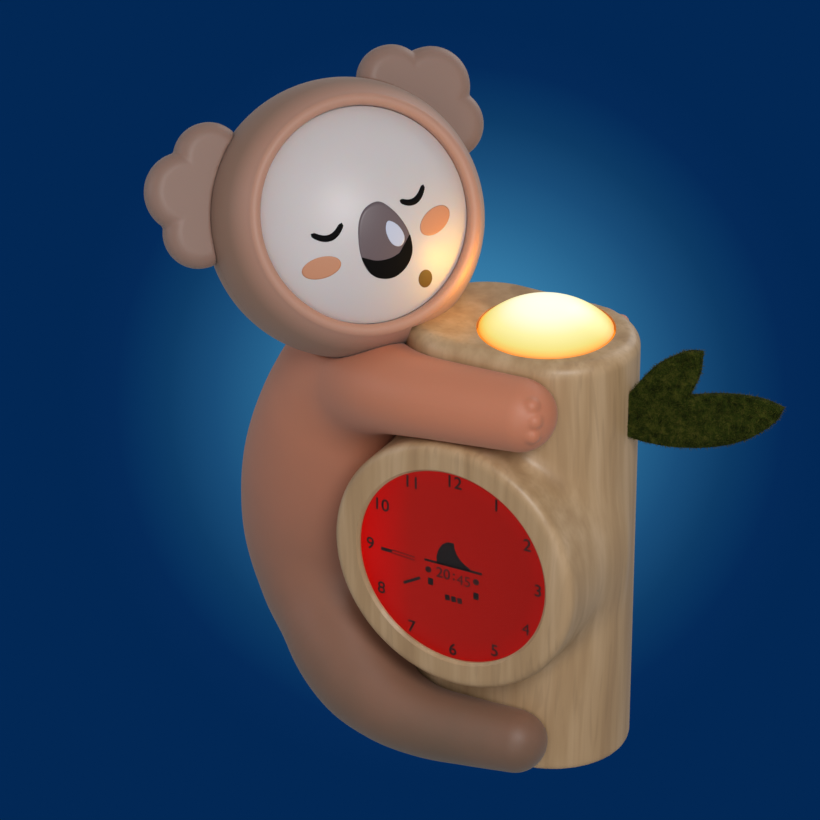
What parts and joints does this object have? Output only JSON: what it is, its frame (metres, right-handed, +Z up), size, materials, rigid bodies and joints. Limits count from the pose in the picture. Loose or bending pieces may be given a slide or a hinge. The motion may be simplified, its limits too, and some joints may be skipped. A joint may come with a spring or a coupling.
{
  "type": "kids alarm clock with night light",
  "caption": "Upright wood-effect trunk with a round digital dial, a press-on night-light cap, a felt leaf, and a koala figure that hugs it.",
  "frame": {"origin": "on the night light's vertical axis, on the rubber pads' lower face", "axes": "+Z up, -Y to the front that holds the dial, +X to the right when facing the dial"},
  "size_m": [0.1814, 0.0869, 0.1946],
  "materials": {
    "trunk_wood_effect": "wood-grain print on moulded ABS, satin",
    "base_plastic": "moulded",
    "steel": "zinc plated",
    "rubber": "matte",
    "window_clear": "clear moulded window",
    "lcd_glass": "lit segment display",
    "diffuser_white": "moulded",
    "inner_black": "moulded",
    "circuit_board": "solder resist",
    "cell_metal": "plain printed can",
    "contact_metal": "nickel plated",
    "led_lens": "moulded",
    "leaf_felt": "pressed felt",
    "koala_skin": "soft-touch matte",
    "face_white": "satin",
    "dome_opal": "opal, satin",
    "button_grey": "matte",
    "door_plastic": "moulded"
  },
  "bodies": {
    "case": {"trunk_housing": "trunk_wood_effect", "base_plate": "base_plastic", "base_screws": "steel", "rubber_pads": "rubber", "dial_window": "window_clear", "lcd_panel": "lcd_glass", "lcd_backlight": "diffuser_white", "lcd_frame": "inner_black", "main_board": "circuit_board", "board_parts": "inner_black", "board_screws": "steel", "battery_box": "inner_black", "batteries": "cell_metal", "battery_contacts": "contact_metal", "key_board": "circuit_board", "key_switches": "inner_black", "slide_switch": "steel", "speaker": "inner_black", "speaker_gasket": "rubber", "dome_return_pad": "rubber", "light_deck": "diffuser_white", "deck_screws": "steel", "reflector_cup": "diffuser_white", "light_board": "circuit_board", "light_leds": "led_lens", "leaf": "leaf_felt", "leaf_clip": "inner_black", "koala_front_shell": "koala_skin", "koala_rear_shell": "koala_skin", "neck_post": "base_plastic", "head_front_shell": "koala_skin", "head_rear_shell": "koala_skin", "face_plate": "face_white", "ear_left": "koala_skin", "ear_right": "koala_skin"},
    "dome": {"night_light_dome": "dome_opal"},
    "hour_key": {"hour_button": "button_grey"},
    "minute_key": {"minute_button": "button_grey"},
    "alarm_key": {"alarm_button": "button_grey"},
    "light_key": {"light_button": "button_grey"},
    "slide": {"slide_knob": "button_grey"},
    "battery_cover": {"battery_door": "door_plastic", "battery_door_screw": "steel"}
  },
  "joints": [
    {"name": "dome_press", "type": "slide", "parent": "case", "child": "dome", "axis": [0, 0, 1], "range_m": [-0.0015, 0], "stiffness_N_per_m": 900, "deforming": ["dome_return_pad"]},
    {"name": "hour_press", "type": "slide", "parent": "case", "child": "hour_key", "axis": [0, 1, 0], "range_m": [-0.001, 0], "stiffness_N_per_m": 400},
    {"name": "minute_press", "type": "slide", "parent": "case", "child": "minute_key", "axis": [0, 1, 0], "range_m": [-0.001, 0], "stiffness_N_per_m": 400},
    {"name": "alarm_press", "type": "slide", "parent": "case", "child": "alarm_key", "axis": [0, 1, 0], "range_m": [-0.001, 0], "stiffness_N_per_m": 400},
    {"name": "light_press", "type": "slide", "parent": "case", "child": "light_key", "axis": [0, 1, 0], "range_m": [-0.001, 0], "stiffness_N_per_m": 400},
    {"name": "alarm_slide", "type": "slide", "parent": "case", "child": "slide", "axis": [1, 0, 0], "range_m": [0, 0.004]},
    {"name": "battery_door_hinge", "type": "hinge", "parent": "case", "child": "battery_cover", "pos_m": [-0.0075, 0.022, 0.0298], "axis": [-1, 0, 0], "range_deg": [0, 90]}
  ]
}
